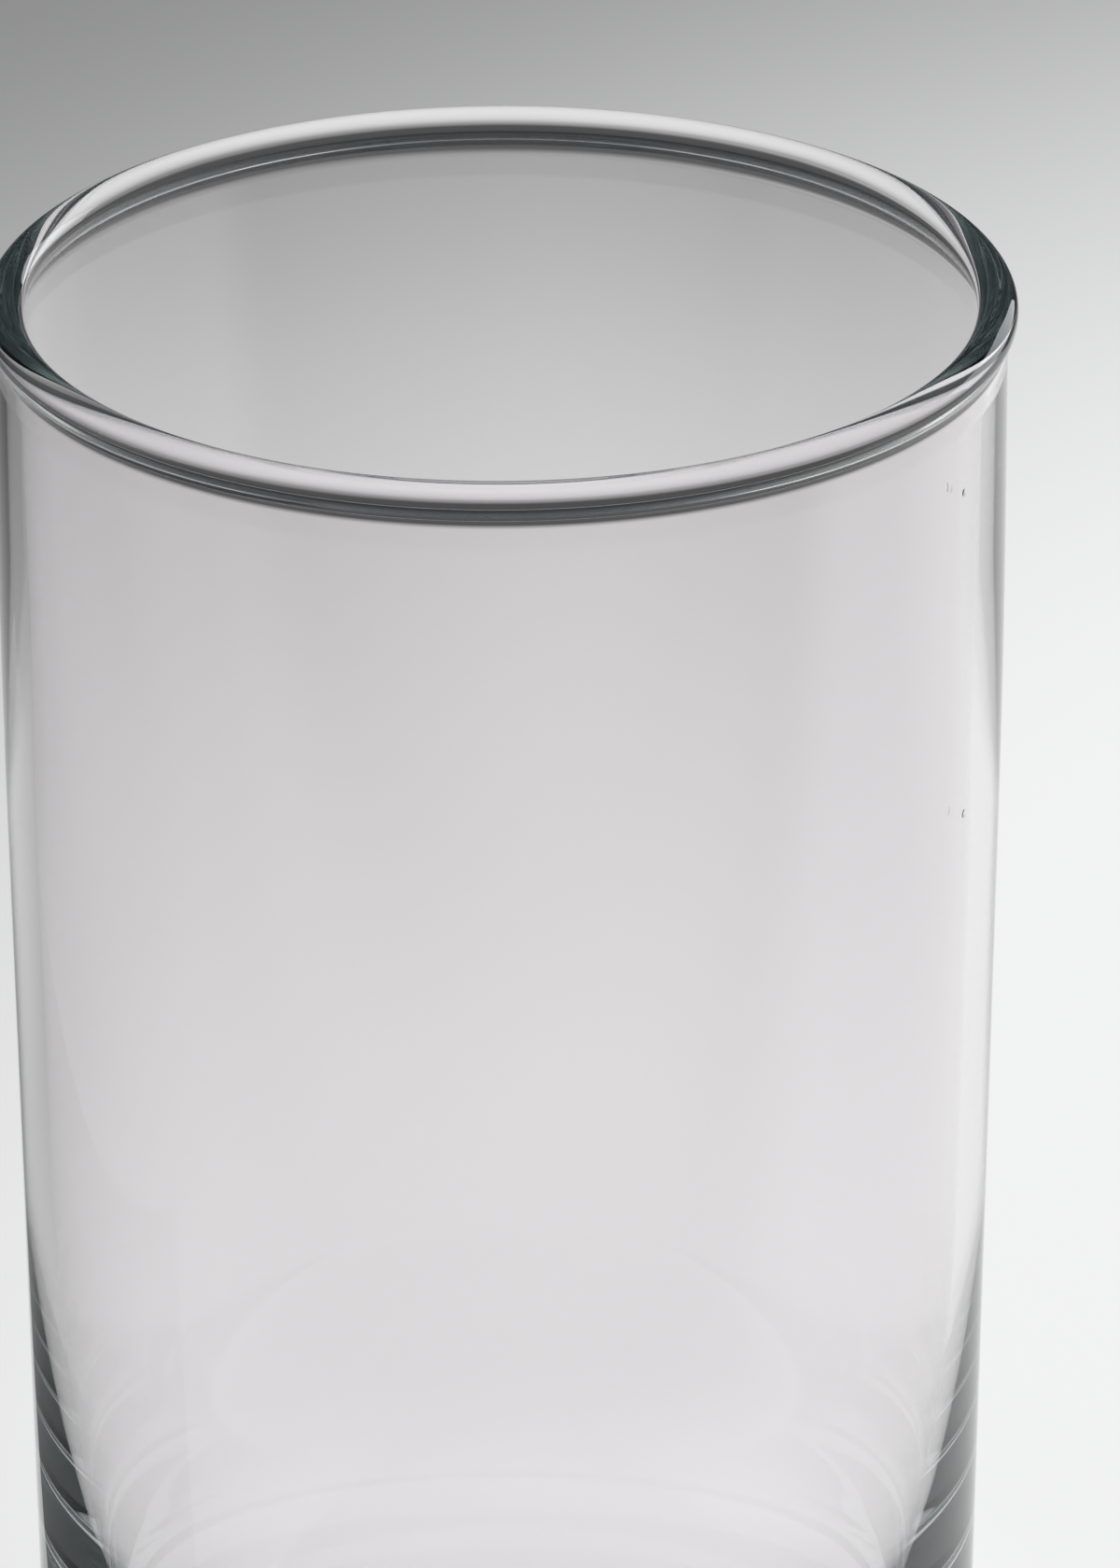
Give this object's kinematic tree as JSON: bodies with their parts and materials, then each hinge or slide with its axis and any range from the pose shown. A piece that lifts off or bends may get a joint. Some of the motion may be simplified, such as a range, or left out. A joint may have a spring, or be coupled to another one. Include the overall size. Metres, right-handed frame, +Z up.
{
  "type": "juice glass",
  "caption": "Clear straight-sided juice glass with a rounded rim bead, a thin slightly tapered wall and a heavy base with a smoothly rounded inside, to drink from.",
  "frame": {"origin": "centre of the underside, on the level of the table that the glass stands on", "axes": "+Z up along the axis of the glass, towards the rim; X and Y are alike, because the glass is round"},
  "size_m": [0.0582, 0.0582, 0.106],
  "materials": {
    "clear_glass": "fire-polished, colourless, with a faint green-grey cast where the glass is thick"
  },
  "bodies": {
    "root": {"rim_bead": "clear_glass", "side_wall": "clear_glass", "base": "clear_glass"}
  },
  "joints": []
}
